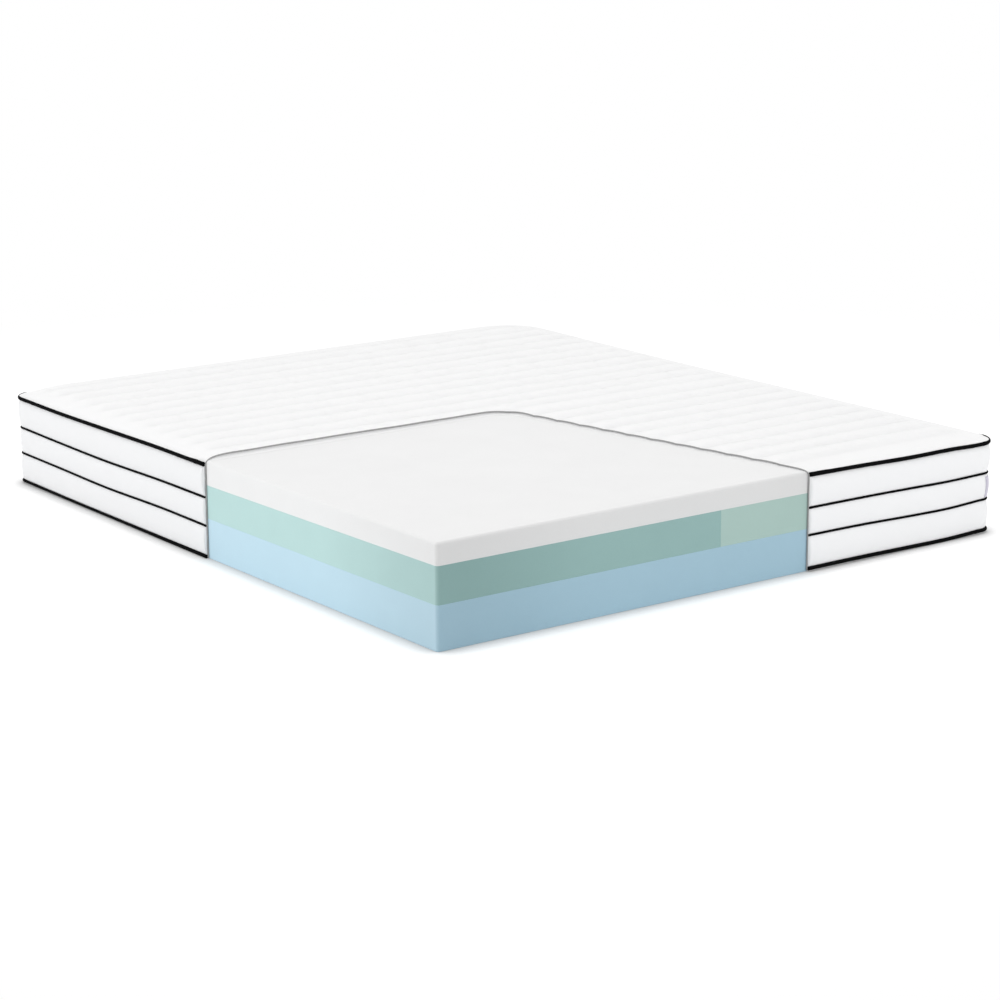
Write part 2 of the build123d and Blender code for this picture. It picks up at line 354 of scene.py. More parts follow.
PLAIN = (1.0, 1.0, 1.0)
CORNER_SHADE_REACH = 0.55


def foam(name, dark, light, end, top=PLAIN, corner=PLAIN):
    """Open cells, seen as fine pits, and faint clouds. Painted shade: the colour is multiplied darker on the
    top, on the cut end faces that face -Y and on the upright faces towards the shown corner, in place of
    light."""
    made = material(name, light, 0.95, sheen=0.1, specular=0.1)
    coords = add(made, "ShaderNodeTexCoord")
    cells = add(made, "ShaderNodeTexVoronoi", Scale=700.0)
    fine = add(made, "ShaderNodeTexNoise", Scale=1500.0, Detail=2.0)
    cloud = add(made, "ShaderNodeTexNoise", Scale=9.0, Detail=3.0)
    for node in (cells, fine, cloud):
        wire(made, coords.outputs["Object"], node.inputs["Vector"])
    pits = math_node(made, "MULTIPLY", cells.outputs["Distance"], fine.outputs["Fac"])
    bump(made, pits, 0.0006, 0.6)
    mottle = math_node(
        made,
        "ADD",
        math_node(made, "MULTIPLY", cells.outputs["Distance"], 0.45),
        math_node(made, "MULTIPLY", cloud.outputs["Fac"], 0.55),
    )
    colour = tint(made, mottle, dark, light)
    normal = add(made, "ShaderNodeSeparateXYZ")
    wire(made, coords.outputs["Normal"], normal.inputs[0])
    at = add(made, "ShaderNodeSeparateXYZ")
    wire(made, coords.outputs["Object"], at.inputs[0])
    from_corner = math_node(
        made,
        "MAXIMUM",
        math_node(made, "ADD", at.outputs["X"], HALF_W),
        math_node(made, "ADD", at.outputs["Y"], HALF_L),
    )
    fade = map_range(made, from_corner, 0.0, CORNER_SHADE_REACH, 1.0, 0.0)
    upright = math_node(made, "SUBTRACT", 1.0, math_node(made, "ABSOLUTE", normal.outputs["Z"]))
    # painted shade: top, end faces and upright faces near the shown corner get a darker colour, standing in
    # for light
    painted_shades = [
        (math_node(made, "MAXIMUM", normal.outputs["Z"], 0.0), top),
        (math_node(made, "MAXIMUM", math_node(made, "MULTIPLY", normal.outputs["Y"], -1.0), 0.0), end),
        (math_node(made, "MULTIPLY", fade, upright), corner),
    ]
    for factor, shade in painted_shades:
        colour = shaded(made, colour, factor, shade)
    wire(made, colour, shader_of(made).inputs["Base Color"])
    return made


def braid(name, dark, light, pitch, depth, sheen, specular):
    """Cloth-covered cord: slanting threads round it."""
    made = material(name, light, 0.85, sheen, specular=specular)
    uv = add(made, "ShaderNodeUVMap", uv_map="cloth")
    turn = add(made, "ShaderNodeMapping")
    turn.inputs["Rotation"].default_value = (0, 0, math.radians(38))
    wire(made, uv.outputs[0], turn.inputs["Vector"])
    threads = bands(made, turn.outputs[0], "X", pitch)
    noise = add(made, "ShaderNodeTexNoise", Scale=700.0, Detail=3.0)
    wire(made, uv.outputs[0], noise.inputs["Vector"])
    fuzz = math_node(made, "MULTIPLY", noise.outputs["Fac"], 0.4)
    height = math_node(made, "ADD", threads, fuzz)
    bump(made, height, depth)
    tint(made, height, dark, light)
    return made


def metal(name, dark, light):
    """Die-cast zinc with a fine satin grain."""
    made = material(name, light, 0.35, metallic=1.0, specular=0.5)
    coords = add(made, "ShaderNodeTexCoord")
    grain = add(made, "ShaderNodeTexNoise", Scale=2500.0, Detail=4.0)
    wire(made, coords.outputs["Object"], grain.inputs["Vector"])
    bump(made, grain.outputs["Fac"], 0.0001, 0.4)
    tint(made, grain.outputs["Fac"], dark, light)
    rough = math_node(made, "ADD", math_node(made, "MULTIPLY", grain.outputs["Fac"], 0.25), 0.22)
    wire(made, rough, shader_of(made).inputs["Roughness"])
    return made


# the painted shade along the sewn lines, in their grooves: how far it reaches, and where it fades at the ends
# and at the sides
SEWN_LINE_PAINTED_SHADE = (0.922, 0.922, 0.927)
SEWN_REACH = 0.036
SEWN_END_FADE = (0.97, 1.0)
SEWN_SIDE_FADE = (0.835, 0.885)


def sewn_lines(made):
    """Painted shade along the lines sewn across the top, where the knit is drawn down into grooves: the base
    colour is darkened there.
    """
    uv = add(made, "ShaderNodeUVMap", uv_map="cloth")
    at = add(made, "ShaderNodeSeparateXYZ")
    wire(made, uv.outputs[0], at.inputs[0])
    from_first = math_node(made, "SUBTRACT", at.outputs["Y"], FIRST_LINE)
    to_line = math_node(made, "PINGPONG", from_first, CHANNEL / 2)
    uneven = add(made, "ShaderNodeTexNoise", Scale=7.0, Detail=2.0)
    wire(made, uv.outputs[0], uneven.inputs["Vector"])
    beside = map_range(made, to_line, 0.0, SEWN_REACH, 1.0, 0.0)
    groove_shade = math_node(made, "MULTIPLY", beside, uneven.outputs["Fac"])
    for axis, (start, end) in (("Y", SEWN_END_FADE), ("X", SEWN_SIDE_FADE)):
        away = math_node(made, "ABSOLUTE", at.outputs[axis])
        groove_shade = math_node(made, "MULTIPLY", groove_shade, map_range(made, away, start, end, 1.0, 0.0))
    base_colour = shader_of(made).inputs["Base Color"]
    # painted shade: the knit's colour is multiplied darker beside each sewn line
    groove_shaded = shaded(made, base_colour.links[0].from_socket, groove_shade, SEWN_LINE_PAINTED_SHADE)
    wire(made, groove_shaded, base_colour)


COVER_TOP = knit("cover_knit_top", (0.90, 0.90, 0.902), (0.965, 0.965, 0.965), 0.0024, 0.0032, 0.0004)
sewn_lines(COVER_TOP)
COVER_SIDE = knit("cover_knit_side", (0.93, 0.935, 0.945), (0.965, 0.97, 0.98), 0.0024, 0.0032, 0.0004)
SLEEVE = knit("sleeve_knit", (0.74, 0.74, 0.73), (0.84, 0.84, 0.83), 0.003, 0.003, 0.0004)
BASE_CLOTH = knit("base_cloth", (0.52, 0.52, 0.53), (0.64, 0.64, 0.65), 0.005, 0.005, 0.0003)
DARK_CORD = braid("dark_cord", (0.0015, 0.0015, 0.0017), (0.004, 0.004, 0.0045), 0.0016, 0.0003, 0.0, 0.04)
GREY_CORD = braid("grey_cord", (0.30, 0.30, 0.30), (0.38, 0.38, 0.38), 0.0012, 0.0002, 0.1, 0.1)
LABEL = knit("label_cloth", (0.56, 0.54, 0.64), (0.66, 0.64, 0.74), 0.0008, 0.0008, 0.0001, 0.6, 0.3)
TAPE = knit("zip_tape", (0.72, 0.72, 0.73), (0.84, 0.84, 0.85), 0.0012, 0.0008, 0.0002)
COIL = knit("zip_coil", (0.70, 0.70, 0.71), (0.80, 0.80, 0.81), 0.0020, 0.0020, 0.0001, 0.4, 0.0)
ZIP_METAL = metal("zip_metal", (0.26, 0.26, 0.27), (0.38, 0.38, 0.39))
# end, top and corner below are painted shade: darker colours for the end faces, the top and the faces near
# the shown corner
FOAM_WHITE = foam(
    "foam_white",
    dark=(0.87, 0.87, 0.87),
    light=(0.93, 0.93, 0.93),
    end=(0.81, 0.81, 0.81),
    top=(0.94, 0.94, 0.94),
    corner=(0.915, 0.915, 0.915),
)
FOAM_GREEN = foam(
    "foam_green_firm",
    dark=(0.50, 0.71, 0.695),
    light=(0.58, 0.81, 0.79),
    end=(0.555, 0.611, 0.606),
    corner=(0.795, 0.81, 0.81),
)
FOAM_PALE = foam("foam_green_soft", (0.55, 0.73, 0.68), (0.61, 0.81, 0.755), end=(0.705, 0.725, 0.722))
FOAM_BLUE = foam(
    "foam_blue",
    dark=(0.55, 0.743, 0.853),
    light=(0.615, 0.83, 0.945),
    end=(0.64, 0.696, 0.724),
    corner=(0.855, 0.86, 0.86),
)


# seams round the core

def route(step):
    """Round the core from one edge of the opening to the other: places, outward directions, length so far."""
    places, outs = [], []

    def run(a, b, out):
        a, b = np.array(a, float), np.array(b, float)
        n = max(1, round(np.linalg.norm(b - a) / step))
        for i in range(n):
            places.append(a + (b - a) * i / n)
            outs.append(out)

    def turn(centre, start, end):
        for i in range(10):
            angle = math.radians(start + (end - start) * i / 10)
            out = np.array([math.cos(angle), math.sin(angle)])
            places.append(np.array(centre) + CORE_R * out)
            outs.append(out)

    x, y, r = HALF_W, HALF_L, CORE_R
    run((-x, OPEN_Y), (-x, y - r), (-1, 0))
    turn((-x + r, y - r), 180, 90)
    run((-x + r, y), (x - r, y), (0, 1))
    turn((x - r, y - r), 90, 0)
    run((x, y - r), (x, -y + r), (1, 0))
    turn((x - r, -y + r), 0, -90)
    run((x - r, -y), (OPEN_X, -y), (0, -1))
    places.append(np.array([OPEN_X, -y]))
    outs.append((0, -1))
    return measured(np.array(places), np.array(outs, float))


def measured(places, outs):
    steps = np.linalg.norm(np.diff(places + outs * PIPING_OUT, axis=0), axis=1)
    return places, outs, np.concatenate([[0], np.cumsum(steps)])


def with_zip_opening(places, outs):
    """The same stations with a close pair at each end of the zip's opening."""
    far = (outs[:, 1] > 0.99) & (np.abs(places[:, 0]) < HALF_W - CORE_R + 1e-6)
    first = np.argmax(far)
    last = len(far) - np.argmax(far[::-1])
    xs = list(places[first:last, 0])
    for x in (-ZIP_OPENING_HALF, ZIP_OPENING_HALF):
        xs = [p for p in xs if abs(p - x) > 0.003] + [x - 0.0004, x + 0.0004]
    xs = np.sort(np.array(xs))
    end = np.stack([xs, np.full(len(xs), HALF_L)], 1)
    places = np.concatenate([places[:first], end, places[last:]])
    outs = np.concatenate([outs[:first], np.tile([0.0, 1.0], (len(xs), 1)), outs[last:]])
    return measured(places, outs)


# how far each sewn line strays from level, as (metres from the cut edge, millimetres up): first along the
# side, then along the end. The top piping turns up a little as it goes round the corners.
STRAY = {
    "top": (
        [
            (0, 0.3), (0.21, 2.0), (0.56, -0.6), (0.8, -2.0), (0.98, -0.4),
            (1.06, 1.0), (1.09, 2.8), (1.12, 0.4), (1.18, 0),
        ],
        [
            (0, 3.2), (0.18, 1.2), (0.35, -2.4), (0.5, -2.0), (0.62, -3.8),
            (0.66, -1.5), (0.69, 2.0), (0.73, 0), (0.78, 0),
        ],
    ),
    "upper": (
        [(0, -0.4), (0.21, 0), (0.56, -4.4), (0.8, -2.6), (1.02, 0.5)],
        [(0, 3.7), (0.18, 3.0), (0.35, 1.0), (0.5, -1.4), (0.62, 0.5)],
    ),
    "lower": (
        [(0, -2.0), (0.21, -0.8), (0.56, -5.5), (0.8, -2.4), (1.02, -0.5)],
        [(0, 6.2), (0.18, 5.0), (0.35, 0.8), (0.5, -1.0), (0.62, 3.3)],
    ),
    "bottom": (
        [(0, 0), (0.5, 0), (0.8, 0.6), (1.02, 2.2)],
        [(0, 3.4), (0.18, 3.2), (0.35, 1.2), (0.5, 0.1), (0.62, 3.6)],
    ),
}
MILLIMETRE = 0.001
SIDE_STRAY_FADE = (1.12, 1.35)
END_STRAY_FADE = (0.72, 0.95)
HIDDEN_STRAY = 0.9


def stray(seam, along):
    side, end = STRAY[seam]
    back = along[-1] - along
    near_side = 1 - smoothstep(*SIDE_STRAY_FADE, along)
    near_end = 1 - smoothstep(*END_STRAY_FADE, back)
    hidden = 0 if seam == "bottom" else HIDDEN_STRAY * ripples(len(seam), 0.4, 1.5, 4)(along)
    shown = through(side, along) * near_side + through(end, back) * near_end
    return MILLIMETRE * (shown + hidden * (1 - near_side) * (1 - near_end))


def sweep_closed(name, places, outs, along, rings):
    """rings is (station, point, (outset, height)); the ring is closed and both ends are capped."""
    n, m = rings.shape[:2]
    verts = np.empty((n, m, 3))
    verts[:, :, :2] = places[:, None, :] + outs[:, None, :] * rings[:, :, :1]
    verts[:, :, 2] = rings[:, :, 1]
    steps = np.linalg.norm(np.diff(rings, axis=1), axis=2)
    girth = np.concatenate([np.zeros((n, 1)), np.cumsum(steps, axis=1)], axis=1)
    uvs = np.stack([np.repeat(along[:, None], m, 1), girth], -1).reshape(-1, 2)
    obj = new_object(name, verts.reshape(-1, 3), tube_faces(n, m), uvs)
    outward(obj)
    return obj


BAND_INNER, BAND_SEAM = 0.0021, 0.0052
BAND_STEPS = (1 - np.cos(np.linspace(0, math.pi, 19))) / 2


def band_shape(stations, low_seam, low, high_seam, high, puff, lean, seed):
    """Outset and height of a border band's outer face, pulled in at its seams and full between them.
    A lean above 1 puts its fullest line above the middle."""
    places, outs, along = stations
    v = BAND_STEPS[None, :]
    bottom = low + stray(low_seam, along)
    if low_seam == "bottom":
        at_zip = (np.abs(places[:, 0]) < ZIP_OPENING_HALF) & (outs[:, 1] > 0.99)
        bottom = np.where(at_zip, ZIP_OPENING_TOP, bottom)
    top = high + stray(high_seam, along)
    fullness = 1 + 0.07 * ripples(seed, 0.25, 0.9, 5)(along)
    edge = np.exp(-((np.minimum(v, 1 - v) / 0.16) ** 2)) * np.sin(math.pi * v) ** 0.3
    gathers = [ripples(seed + i, 0.022, 0.075, 6)(along)[:, None] for i in (1, 2)]
    out = BAND_SEAM + puff * fullness[:, None] * np.sin(math.pi * v**lean) ** 0.62
    out = out + 0.0004 * edge * np.where(v < 0.5, *gathers)
    return out, bottom[:, None] + (top - bottom)[:, None] * v


def band(name, node, stations, shape):
    out, height = shape
    inner = np.full((len(out), 1), BAND_INNER)
    outsets = np.concatenate([out, inner, inner], 1)
    heights = np.concatenate([height, height[:, -1:], height[:, :1]], 1)
    rings = np.stack([outsets, heights], -1)
    return place(sweep_closed(name, *stations, rings), COVER_SIDE, [node])


STATIONS = route(0.010)
ZIP_STATIONS = with_zip_opening(*STATIONS[:2])
STRIPE_ROOM = STRIPE_R + SEAM_GAP
upper_shape = band_shape(
    STATIONS,
    "upper",
    UPPER_STRIPE_Z + STRIPE_ROOM,
    "top",
    TOP_PIPING_Z - TOP_PIPING_R - SEAM_GAP,
    puff=0.0070,
    lean=1.25,
    seed=11,
)
middle_shape = band_shape(
    STATIONS,
    "lower",
    LOWER_STRIPE_Z + STRIPE_ROOM,
    "upper",
    UPPER_STRIPE_Z - STRIPE_ROOM,
    puff=0.0050,
    lean=1.1,
    seed=21,
)
lower_shape = band_shape(
    ZIP_STATIONS,
    "bottom",
    BOTTOM_PIPING_Z + BOTTOM_PIPING_R + SEAM_GAP,
    "lower",
    LOWER_STRIPE_Z - STRIPE_ROOM,
    puff=0.0050,
    lean=1.0,
    seed=31,
)
band("upper_border", "upper_band", STATIONS, upper_shape)
band("middle_border", "middle_band", STATIONS, middle_shape)
band("lower_border", "lower_band", ZIP_STATIONS, lower_shape)


# the bottom piping shows less where the border rolls over it: (metres along the side, share of its radius)
BOTTOM_TUCK = [(0, 1.0), (0.12, 0.96), (0.4, 0.74), (1.05, 0.78), (1.5, 1.0)]


def seam_cord(name, node, seam, outset, height, radius, sides, seed):
    places, outs, along = route(0.006)
    angles = np.linspace(0, 2 * math.pi, sides, endpoint=False)[None, :]
    tucked = through(BOTTOM_TUCK, np.minimum(along, BOTTOM_TUCK[-1][0])) if seam == "bottom" else 1
    uneven = (radius * tucked * (1 + 0.03 * ripples(seed, 0.012, 0.06, 5)(along)))[:, None]
    level = (height + stray(seam, along))[:, None]
    rings = np.stack([outset + uneven * np.cos(angles), level + uneven * np.sin(angles)], -1)
    return place(sweep_closed(name, places, outs, along, rings), DARK_CORD, [node])


for cord in (
    ("top_edge_piping", "top_piping", "top", PIPING_OUT, TOP_PIPING_Z, TOP_PIPING_R, 14, 41),
    ("bottom_edge_piping", "bottom_piping", "bottom", PIPING_OUT, BOTTOM_PIPING_Z, BOTTOM_PIPING_R, 14, 43),
    ("upper_stripe", "upper_stripe_cord", "upper", STRIPE_OUT, UPPER_STRIPE_Z, STRIPE_R, 10, 45),
    ("lower_stripe", "lower_stripe_cord", "lower", STRIPE_OUT, LOWER_STRIPE_Z, STRIPE_R, 10, 47),
):
    seam_cord(*cord)


LABEL_THICKNESS = 0.0007
LABEL_LIFT = 0.0011


def side_label():
    """A bare woven label on the middle band, sewn round the corner at the right."""
    places, outs, along = STATIONS
    out, height = middle_shape
    chosen = (places[:, 0] > LABEL_LOW.x - 1e-4) & (places[:, 1] < LABEL_HIGH.y + 1e-4) & (outs[:, 0] > 0.02)
    rise = np.linspace(LABEL_LOW.z, LABEL_HIGH.z, 14)
    verts, uvs = [], []
    for i in np.where(chosen)[0]:
        lift = np.interp(rise, height[i], out[i]) + LABEL_LIFT
        for z, o in zip(rise, lift):
            verts.append((*(places[i] + outs[i] * o), z))
            uvs.append((along[i], z))
    obj = new_object("corner_label", verts, grid_faces(int(chosen.sum()), len(rise)), uvs)
    face_along(obj, 0)
    thicken(obj, LABEL_THICKNESS)
    place(obj, LABEL, ["side_label"])


side_label()


# the opening's edge in plan, as it is sewn or set back

def opening_frame():
    corner = np.array([OPEN_IN_X, OPEN_Y])
    end = np.array([OPEN_X - OPEN_IN_X, -HALF_L - OPEN_Y])
    end /= np.linalg.norm(end)
    half = math.acos(-end[0]) / 2
    centre = corner + np.array([-OPEN_R / math.tan(half), -OPEN_R])
    return centre, end, np.array([-end[1], end[0]])


ARC_CENTRE, END_RUN, END_OUT = opening_frame()
ARC_TURN = math.acos(END_OUT[1])


def opening_x(y, back=0.0):
    """Where the opening's slanted edge is at a given place along the bed."""
    y = np.asarray(y, float)
    radius = OPEN_R + back
    last = ARC_CENTRE + radius * END_OUT
    arc = ARC_CENTRE[0] + np.sqrt(np.maximum(radius**2 - (y - ARC_CENTRE[1]) ** 2, 0))
    return np.where(y > last[1], arc, last[0] + (y - last[1]) * END_RUN[0] / END_RUN[1])


def to_opening(x, y):
    """Distance to the edge of the opening."""
    turns = np.linspace(0, ARC_TURN, 12)
    arc = ARC_CENTRE + OPEN_R * np.stack([np.sin(turns), np.cos(turns)], 1)
    end = np.array([float(opening_x(-HALF_L - 0.02)), -HALF_L - 0.02])
    edge = np.concatenate([[[-HALF_W - 0.02, OPEN_Y]], arc, [end]])
    best = np.full(x.shape, 9.0)
    for a, b in zip(edge[:-1], edge[1:]):
        d = b - a
        t = np.clip(((x - a[0]) * d[0] + (y - a[1]) * d[1]) / (d @ d), 0, 1)
        best = np.minimum(best, np.hypot(x - a[0] - t * d[0], y - a[1] - t * d[1]))
    return best


# the wadding that shows past the cut edge and thins out onto the foam: (how far out, how far down), as shares
# of its thickness
WADDING = ((0.02, 0.2), (0.12, 0.42), (0.5, 0.7), (1.3, 1.0))


def open_sheet(name, rim, roll, back, cross_lines, bend, fringe, wall_foot=None):
    """A sheet over the whole top with the corner left open. bend takes flat places to places on the bed.
    fringe is the rings that follow the rim, each as an outset from it and a height: a height below 0 is
    taken from the rim, and one above 0 from the floor. wall_foot is the height that the wadding past the
    cut edge comes down to."""
    rolls = roll * np.arange(1, 11) / 10
    inner = np.array(rim) - roll
    open_y = OPEN_Y + back
    arc_rows = ARC_CENTRE[1] + (OPEN_R + back) * np.cos(np.linspace(0, ARC_TURN, 13))
    rows = [y for y in cross_lines if np.abs(arc_rows - y).min() > 0.004 and abs(y) < inner[1] - 0.002]
    ends = [[-inner[1], inner[1]], inner[1] + rolls, -inner[1] - rolls]
    rows = np.sort(np.concatenate([rows, arc_rows, *ends]))
    left = np.concatenate([-inner[0] - rolls[::-1], np.linspace(-inner[0], ARC_CENTRE[0], 66)[:-1]])
    spacing = np.linspace(0, 1, 62)
    px, py = [], []

    def row(y, start, with_left):
        right = np.concatenate([start + spacing * (inner[0] - start), inner[0] + rolls])
        xs = np.concatenate([left, right]) if with_left else right
        first = len(px)
        px.extend(xs)
        py.extend([y] * len(xs))
        return list(range(first, first + len(xs)))

    low = [row(y, float(opening_x(y, back)), False) for y in rows if y < open_y - 1e-6]
    high = [row(y, ARC_CENTRE[0], True) for y in rows if y > open_y - 1e-6]
    faces = []

    def strip(a, b):
        for k in range(len(a) - 1):
            faces.append((a[k], a[k + 1], b[k + 1], b[k]))

    for a, b in zip(low[:-1], low[1:]):
        strip(a, b)
    strip(low[-1], high[0][len(left):])
    for a, b in zip(high[:-1], high[1:]):
        strip(a, b)
    flat = np.stack([px, py], 1)
    points = bend(flat[:, 0], flat[:, 1])

    edge = [r[0] for r in high] + high[-1][1:] + [r[-1] for r in reversed(low + high[:-1])] + low[0][-2::-1]
    hem = points[edge]
    out = hem[:, :2] - np.clip(hem[:, :2], -np.array(rim) + RIM_CORNER, np.array(rim) - RIM_CORNER)
    out /= np.linalg.norm(out, axis=1)[:, None]
    verts, uvs, last, count = [points], [flat], edge, len(points)
    for outset, height in fringe:
        ring = hem.copy()
        ring[:, :2] += out * outset
        ring[:, 2] = hem[:, 2] + height if height < 0 else height
        ids = list(range(count, count + len(edge)))
        for k in range(len(edge) - 1):
            faces.append((last[k], ids[k], ids[k + 1], last[k + 1]))
        verts.append(ring)
        uvs.append(flat[edge] + out * np.linalg.norm(ring - hem, axis=1)[:, None])
        last, count = ids, count + len(edge)
    if wall_foot is not None:
        mouth = high[0][: len(left) + 1] + [r[0] for r in reversed(low)]
        lip = points[mouth]
        ahead = np.gradient(lip[:, :2], axis=0)
        onto = np.stack([ahead[:, 1], -ahead[:, 0]], 1) / np.linalg.norm(ahead, axis=1)[:, None]
        depth = np.maximum(lip[:, 2] - wall_foot, 0.0004)[:, None]
        last = mouth
        for spread, share in WADDING:
            ring = lip + np.concatenate([onto * spread * depth, -share * depth], 1)
            ids = list(range(count, count + len(mouth)))
            for k in range(len(mouth) - 1):
                faces.append((last[k], last[k + 1], ids[k + 1], ids[k]))
            verts.append(ring)
            uvs.append(flat[mouth] + onto * depth * (spread + share))
            last, count = ids, count + len(mouth)
    obj = new_object(name, np.concatenate(verts), faces, np.concatenate(uvs))
    face_along(obj, 2)
    return obj


# top of the cover: crowned, sewn across in channels, rolled down to its piping and open at one corner

ROLL = 0.060
RIM = (HALF_W + RIM_OUT, HALF_L + RIM_OUT)
RIM_Z = TOP_PIPING_Z + 0.0057
CORNER_TOP = CORE_TOP + 0.0005
CROWN = 0.0022
CHANNEL_PUFF = 0.0062
COVER_THICKNESS = 0.0024
# at its cut the cover's edge is drawn in and down to the foam's shoulder, over this length
CUT_REACH = 0.045
CUT_IN, CUT_DROP = 0.0063, 0.010
# how far the corners' dip reaches
CORNER_REACH = 0.085
# the seams' lengths from the cut edges to the corners, where the rim follows the top piping
SIDE_SEEN, END_SEEN = 1.02, 0.62


def rim_reach(dx, dy):
    """From the corner of the level part to the rounded rim, in a direction."""
    dx, dy = np.abs(dx), np.abs(dy)
    straight = ROLL / np.maximum(dx, dy)
    offset = ROLL - RIM_CORNER
    b = offset * (dx + dy)
    corner = b + np.sqrt(np.maximum(b * b - 2 * offset**2 + RIM_CORNER**2, 0))
    return np.where(straight * np.minimum(dx, dy) > offset, corner, straight)


def cover_level(x, y):
    """The top lies a little higher at the head and on the left than at the foot."""
    a, b = x / HALF_W, y / HALF_L
    level = 0.2690 - (0.00375 * a + 0.00075 * a * a) * (1 - np.maximum(b, 0)) + 0.0075 * b + 0.0025 * b * b
    floor = CORE_TOP + 0.0044
    return floor + np.logaddexp(0, (level - floor) / 0.0008) * 0.0008


def round_roll(px, py, rim, roll):
    """For flat places: the nearest place on the level part, the way from it as shares of the roll, the
    larger of these shares and the length of the way."""
    cx = np.clip(px, -rim[0] + roll, rim[0] - roll)
    cy = np.clip(py, -rim[1] + roll, rim[1] - roll)
    qx, qy = (px - cx) / roll, (py - cy) / roll
    far = np.maximum(np.abs(qx), np.abs(qy))
    return cx, cy, qx, qy, far, np.where(far > 0, np.hypot(qx, qy), 1)


def bend_cover(px, py):
    cx, cy, qx, qy, far, size = round_roll(px, py, RIM, ROLL)
    dx, dy = np.where(far > 0, qx / size, 1), np.where(far > 0, qy / size, 0)
    at_side = np.exp(-(((py - OPEN_Y) / CUT_REACH) ** 2)) * (qx < 0)
    at_end = np.exp(-(((px - OPEN_X) / CUT_REACH) ** 2)) * (qy < 0)
    cut = np.maximum(at_side, at_end)
    reach = rim_reach(dx, dy) - CUT_IN * cut
    rim_z = RIM_Z + MILLIMETRE * rim_stray(cx + dx * reach, cy + dy * reach) - CUT_DROP * cut
    angle = math.pi / 2 * (1 - far)
    power = 2 + 0.4 * at_side + 1.4 * at_end
    level = (1 - np.cos(angle) ** power) ** (1 / power)
    x = cx + reach * np.cos(angle) * dx
    y = cy + reach * np.cos(angle) * dy
    crown = CROWN * (1 - (x / RIM[0]) ** 2) * (1 - (y / RIM[1]) ** 2)
    channel = (y - FIRST_LINE) / CHANNEL
    side = smoothstep(-0.022, 0.030, RIM[0] - ROLL - np.abs(x))
    puff = np.where(np.abs(y) < -FIRST_LINE, CHANNEL_PUFF * np.abs(np.sin(math.pi * channel)) ** 0.55, 0)
    to_line = np.abs(channel - np.round(channel)) * CHANNEL
    gather = np.exp(-((to_line / 0.014) ** 2)) * ripples(71, 0.02, 0.07, 6)(x + 0.37 * np.round(channel))
    drift = ripples(73, 0.16, 0.6, 5)(x) * ripples(75, 0.16, 0.6, 5)(y)
    eased = 0.35 + 0.65 * smoothstep(0.0, 0.045, to_opening(x, y))
    lift = crown + side * (puff + 0.0003 * gather + 0.0007 * drift)
    top = cover_level(x, y) + lift * eased * level
    # the corners are drawn down, so that the piping stands up round them
    at_corner = np.exp(-((np.hypot(RIM[0] - np.abs(x), RIM[1] - np.abs(y)) / CORNER_REACH) ** 2))
    top = top - at_corner * (top - CORNER_TOP)
    return np.stack([x, y, rim_z + (top - rim_z) * level], -1)


def rim_stray(x, y):
    """The rim follows the top piping's uneven line on the two sides that meet the opening."""
    on_side = (x < -HALF_W + CORE_R) * (y > OPEN_Y - 0.001)
    on_end = (y < -HALF_L + CORE_R) * (x > OPEN_X - 0.1)
    side = through(STRAY["top"][0], np.clip(y - OPEN_Y, 0, SIDE_SEEN)) * on_side
    end = through(STRAY["top"][1], np.clip(x - OPEN_X, 0, END_SEEN)) * on_end
    return side + end


def cover_top():
    fractions = np.array([0, 0.04, 0.11, 0.20, 0.30, 0.40, 0.5, 0.60, 0.70, 0.80, 0.89, 0.96])
    lines = [FIRST_LINE + CHANNEL * (i + fractions) for i in range(CHANNELS)]
    lines = np.concatenate(lines + [[-FIRST_LINE]])
    fringe = [(-0.0012, -0.0022), (-0.0042, -0.0030)]
    obj = open_sheet("cover_top", RIM, ROLL, 0.0, lines, bend_cover, fringe, CORE_TOP + 0.0003)
    places = np.array([v.co for v in obj.data.vertices])
    x, y = places[:, 0], places[:, 1]
    channel = (y - FIRST_LINE) / CHANNEL
    sewn = np.abs(channel - np.round(channel)) * CHANNEL < 0.002
    plain = np.abs(y) > -FIRST_LINE + 0.002
    edge = (np.abs(x) > RIM[0] - ROLL) | (np.abs(y) > RIM[1] - ROLL) | (to_opening(x, y) < 0.004)
    wadding = (y < OPEN_Y) & (x < opening_x(y))
    swell(obj, sewn | plain | edge | wadding, cap=0.004)
    thicken(obj, COVER_THICKNESS)
    obj.data.set_sharp_from_angle(angle=math.radians(65))
    return place(obj, COVER_TOP, ["top_panel"])


cover_top()


def pressed(x, y):
    """How far the cover presses the edges of the foam down, nothing where the foam is open to view."""
    x, y = np.asarray(x, float), np.asarray(y, float)
    inside = (y < OPEN_Y) & (x < opening_x(y))
    covered = np.where(inside, 0, smoothstep(0.0, 0.09, to_opening(x, y)))
    aside, short = HALF_W - np.abs(x), HALF_L - np.abs(y)
    at_corner = np.exp(-((np.hypot(aside, short) / 0.06) ** 2))
    at_edge = 1 - smoothstep(0.0, 0.055, np.minimum(aside, short))
    return covered * (0.005 * at_edge + 0.004 * at_corner)


# knitted sleeve round the foam, under the cover

SLEEVE_OUT = 0.0011
SLEEVE_RIM = (HALF_W + SLEEVE_OUT, HALF_L + SLEEVE_OUT)
SLEEVE_ROLL = 0.012
SLEEVE_THICKNESS = 0.0006


